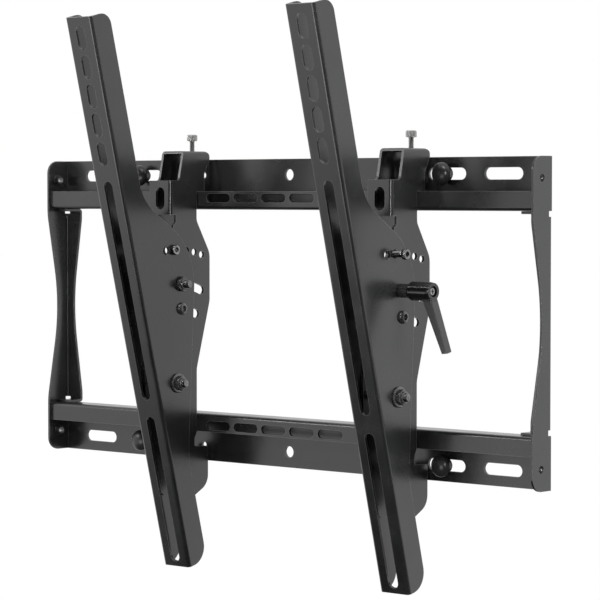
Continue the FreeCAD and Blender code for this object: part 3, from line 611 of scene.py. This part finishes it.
def lever_plastic_material(axis_z, reach):
    """moulded plastic, polished with fine rings on the hub, matt on the handle below it and painted greyer
    there as sheen
    """
    mat, tree, inputs = blank_material("moulded_black_plastic", Specular_IOR_Level=0.7)
    tone, rough, _ = plastic_finish(tree, HUB_BLACK, roughness=0.13)
    place = add(tree, "TexCoord").outputs["Object"]
    height = add(tree, "SeparateXYZ", {0: place}).outputs["Z"]
    below = span(tree, height, axis_z - reach * 1.08, axis_z - reach, 1.0, 0.0)
    # painted sheen: the handle takes a greyer colour than the hub of the same plastic
    tree.links.new(blend(tree, below, tone, HANDLE_PAINTED_SHEEN), inputs["Base Color"])
    tree.links.new(blend(tree, below, rough, 0.5, "FLOAT"), inputs["Roughness"])
    rings = add(tree, "TexWave", {"Vector": place, "Scale": 900.0}, wave_type="BANDS", bands_direction="X")
    bump(tree, inputs, rings.outputs["Fac"], depth=0.04, strength=1.0)
    return mat


low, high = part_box("right_lever_insert")
lever_plastic = lever_plastic_material((low.z + high.z) / 2, HUB_REACH * MM)
finish("right_lever_handle", lever_plastic, HANDLE_EDGE)
finish("right_lever_insert", blackened, STEEL_EDGE)
finish("right_lever_centre_screw", zinc_plate, STEEL_EDGE)


def lever_spring(turns, wire, mean, steps, sides):
    """spring round the centre screw, wound from a wire to a mean diameter in millimetres"""
    node = "right_lever_spring"
    low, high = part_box(node)
    length = length_of(node)
    points = []
    for i in range(steps + 1):
        angle = 2 * math.pi * turns * i / steps
        out = Vector((math.cos(angle), math.sin(angle), 0))
        centre = out * mean / 2 + Vector((0, 0, wire / 2 + (length - wire) * i / steps))
        for k in range(sides):
            a = 2 * math.pi * k / sides
            point = centre + out * (wire / 2 * math.cos(a)) + Vector((0, 0, wire / 2 * math.sin(a)))
            points.append(point * MM)
    faces = [list(range(sides)), [steps * sides + k for k in range(sides)][::-1]]
    for i in range(steps):
        for k in range(sides):
            n = (k + 1) % sides
            faces.append([i * sides + k, (i + 1) * sides + k, (i + 1) * sides + n, i * sides + n])
    mesh = bpy.data.meshes.new(node + "_wound")
    mesh.from_pydata(points, [], faces)
    mesh.transform(along_axis(node, OUTWARD))
    mesh.polygons.foreach_set("use_smooth", [True] * len(mesh.polygons))
    mesh.materials.append(zinc_plate)
    piece = in_scene(node + "_wound", mesh)
    stand_for(piece, node)
    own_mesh(piece)


lever_spring(turns=3, wire=0.58, mean=5.2, steps=96, sides=10)

# Floor, lights and camera
# A pale floor well below the bracket in a white surround. A large lamp at the right lights the
# coat, small ones draw the thin lines on folds and screws, and black cards keep dark the faces
# that would mirror too much white.

FLOOR_Z = -0.9
FLOOR_REACH = 30.0
FLOOR_SHARE = 0.9           # share of the floor that shows as white, the rest keeps the shadow
FILL = 0.16                 # what the white surround adds as light
PLATE_MIDDLE = Vector((0, 0, 0))
CAMERA_PLACE = (1.36686, -1.53276, 0.09022)
CAMERA_DOWN = 2.231         # degrees below the horizon
CAMERA_TURN = 41.534        # degrees from straight in front, toward the right
CAMERA_LENS = 162.8


def surround(tree):
    """socket that is one for rays that show the surround: camera, glossy and transmission rays"""
    rays = add(tree, "LightPath").outputs
    seen = add(tree, "Math", {0: rays["Is Camera Ray"], 1: rays["Is Glossy Ray"]}, operation="MAXIMUM")
    shown = add(tree, "Math", {0: seen.outputs[0], 1: rays["Is Transmission Ray"]}, operation="MAXIMUM")
    return shown.outputs[0]


def flat_sheet(name, x, y, material):
    """rectangle that reaches x and y to each side of its own middle"""
    mesh = bpy.data.meshes.new(name)
    mesh.from_pydata([(-x, -y, 0), (x, -y, 0), (x, y, 0), (-x, y, 0)], [], [[0, 1, 2, 3]])
    mesh.materials.append(material)
    return in_scene(name, mesh)


def studio_floor():
    """large plane that shows white and keeps a soft shadow"""
    mat, tree, _ = blank_material("pale_floor", Base_Color=(0.82, 0.82, 0.82, 1), Roughness=0.9,
                                  Specular_IOR_Level=0.0)
    glow = add(tree, "Emission", {"Color": (1, 1, 1, 1), "Strength": 1.1})
    share = add(tree, "Math", {0: surround(tree), 1: FLOOR_SHARE}, operation="MULTIPLY")
    shader = tree.nodes["Principled BSDF"].outputs[0]
    both = add(tree, "MixShader", {0: share.outputs[0], 1: shader, 2: glow.outputs[0]})
    tree.links.new(both.outputs[0], tree.nodes["Material Output"].inputs["Surface"])
    floor = flat_sheet("studio_floor", FLOOR_REACH, FLOOR_REACH, mat)
    floor.location.z = FLOOR_Z


def studio_world():
    """white where it is seen, and a dimmer even fill where it lights"""
    world = bpy.data.worlds.new("studio")
    bpy.context.scene.world = world
    world.use_nodes = True
    tree = world.node_tree
    back = tree.nodes["Background"]
    back.inputs["Color"].default_value = (1, 1, 1, 1)
    tree.links.new(span(tree, surround(tree), 0.0, 1.0, FILL, 1.0), back.inputs["Strength"])


def turn_toward(thing, place, direction):
    """puts a lamp or card at a place with its face in a direction"""
    thing.location = place
    thing.rotation_euler = Vector(direction).to_track_quat("-Z", "Y").to_euler()


def soft_box(name, place, width, height, power):
    """rectangular lamp that faces the middle of the wall plate"""
    lamp = bpy.data.lights.new(name, "AREA")
    lamp.shape = "RECTANGLE"
    lamp.size = width
    lamp.size_y = height
    lamp.energy = power
    box = in_scene(name, lamp)
    turn_toward(box, place, PLATE_MIDDLE - Vector(place))
    return box


def dark_card(name, place, direction, width, height, soft=0.0):
    """black studio card that only the glossy faces mirror, round and fading where it has a soft rim"""
    mat, tree, inputs = blank_material(name, Base_Color=(0.02, 0.02, 0.02, 1), Roughness=0.9,
                                       Specular_IOR_Level=0.0)
    if soft:
        spot = add(tree, "TexCoord").outputs["Object"]
        far = add(tree, "VectorMath", {0: spot}, operation="LENGTH").outputs["Value"]
        tree.links.new(span(tree, far, width / 2 - soft, width / 2, 1.0, 0.0), inputs["Alpha"])
    card = flat_sheet(name, width / 2, height / 2, mat)
    turn_toward(card, place, direction)
    card.visible_camera = False
    card.visible_diffuse = False
    card.visible_shadow = False


studio_floor()
studio_world()
key_light = soft_box("key_light", (1.8, 0.12, 0.3), width=0.6, height=0.9, power=36)
key_light.visible_glossy = False    # lights the coat, but no face mirrors it
soft_box("front_light", (-0.4, -2.2, -0.5), width=1.2, height=0.7, power=9)
soft_box("top_light", (0.2, -1.5, 1.55), width=0.7, height=0.2, power=10)
soft_box("edge_light", (0.95, -1.65, 0.22), width=0.2, height=0.3, power=6)
soft_box("left_light", (-1.3, -1.55, 0.6), width=0.5, height=0.12, power=4)
dark_card("dark_card_front", (1.35, -3.2, 1.1), (0, 1, 0), width=6.3, height=3.9)
dark_card("dark_card_right", (4.2, -1.9, 1.1), (-1, 0, 0), width=3.0, height=3.9)
dark_card("dark_card_floor", (0.9, -1.3, FLOOR_Z + 0.02), (0, 0, 1), width=6.2, height=6.2, soft=1.1)

camera = bpy.data.cameras.new("product_camera")
camera.sensor_width = 36.0
camera.lens = CAMERA_LENS
camera.clip_start = 0.05
camera.clip_end = 100.0
viewer = in_scene("product_camera", camera)
viewer.location = CAMERA_PLACE
viewer.rotation_euler = (math.radians(90 - CAMERA_DOWN), 0, math.radians(CAMERA_TURN))
bpy.context.scene.camera = viewer
bpy.context.scene.view_settings.view_transform = "Standard"
